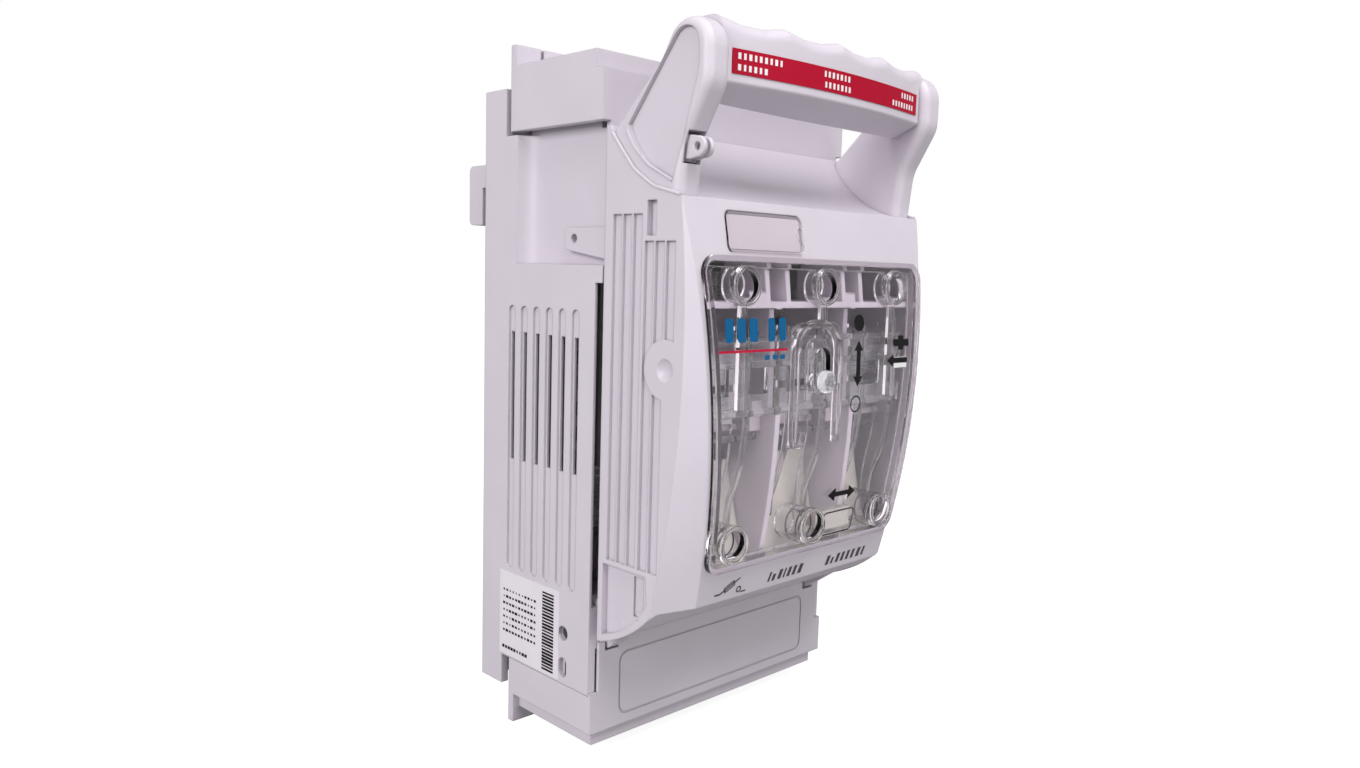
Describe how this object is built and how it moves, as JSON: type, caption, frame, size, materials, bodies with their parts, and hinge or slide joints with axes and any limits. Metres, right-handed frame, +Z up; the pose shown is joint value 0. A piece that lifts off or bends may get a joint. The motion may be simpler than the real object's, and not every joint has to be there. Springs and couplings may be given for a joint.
{
  "type": "fuse switch disconnector",
  "caption": "Light grey three-pole fuse switch disconnector for busbars, with a hinged lid, a handle bar with a red band and a clear window.",
  "frame": {"origin": "centre of the four fixing holes on the back plane, level with the top edge of the middle busbar", "axes": "+X to the right seen from the front, +Y to the back, +Z up"},
  "size_m": [0.1061, 0.1218, 0.2084],
  "materials": {
    "housing_grey": "satin",
    "clear_plastic": "gloss",
    "white_plastic": "gloss",
    "cream_plastic": "satin",
    "dark_plastic": "satin",
    "zinc_steel": "satin",
    "spring_steel": "satin",
    "arc_steel": "matte",
    "silvered_copper": "satin",
    "tinned_copper": "satin",
    "white_card": "matte",
    "label_film": "satin",
    "red_film": "gloss"
  },
  "bodies": {
    "base": {"base_housing": "housing_grey", "clamp_screws": "zinc_steel", "upper_jaw_springs": "spring_steel", "lower_jaw_springs": "spring_steel", "terminal_screws": "zinc_steel", "terminal_washers": "zinc_steel", "terminal_nuts": "zinc_steel", "busbar_hook_left": "housing_grey", "contact_strip_left": "tinned_copper", "terminal_rail_left": "tinned_copper", "upper_jaw_left": "silvered_copper", "lower_jaw_left": "silvered_copper", "arc_chamber_left": "dark_plastic", "arc_plates_left": "arc_steel", "busbar_hook_middle": "housing_grey", "contact_strip_middle": "tinned_copper", "terminal_rail_middle": "tinned_copper", "upper_jaw_middle": "silvered_copper", "lower_jaw_middle": "silvered_copper", "arc_chamber_middle": "dark_plastic", "arc_plates_middle": "arc_steel", "busbar_hook_right": "housing_grey", "contact_strip_right": "tinned_copper", "terminal_rail_right": "tinned_copper", "upper_jaw_right": "silvered_copper", "lower_jaw_right": "silvered_copper", "arc_chamber_right": "dark_plastic", "arc_plates_right": "arc_steel", "top_terminal_cover": "housing_grey", "bottom_terminal_cover": "housing_grey", "rating_label": "label_film", "hinge_pins": "zinc_steel"},
    "lid": {"lid_housing": "housing_grey", "window": "clear_plastic", "label_card": "white_card", "label_cover": "clear_plastic", "grip_label": "red_film", "carrier_clips": "spring_steel", "seal_strap_left": "housing_grey", "seal_strap_right": "housing_grey", "link_carrier_left": "clear_plastic", "lower_guard_left": "cream_plastic", "link_carrier_middle": "clear_plastic", "lower_guard_middle": "cream_plastic", "link_carrier_right": "clear_plastic", "lower_guard_right": "cream_plastic"},
    "lock": {"lock_slide": "clear_plastic", "lock_knob": "clear_plastic"},
    "release": {"release_slide": "white_plastic"},
    "seal": {"seal_slide": "housing_grey"}
  },
  "joints": [
    {"name": "lid_hinge", "type": "hinge", "parent": "base", "child": "lid", "pos_m": [0, -0.0635, -0.064], "axis": [1, 0, 0], "range_deg": [0, 90]},
    {"name": "lock_travel", "type": "slide", "parent": "lid", "child": "lock", "axis": [0, 0, 1], "range_m": [0, 0.007]},
    {"name": "release_travel", "type": "slide", "parent": "lid", "child": "release", "axis": [1, 0, 0], "range_m": [0, 0.006]},
    {"name": "seal_travel", "type": "slide", "parent": "lid", "child": "seal", "axis": [0, -1, 0], "range_m": [-0.004, 0.002]}
  ]
}
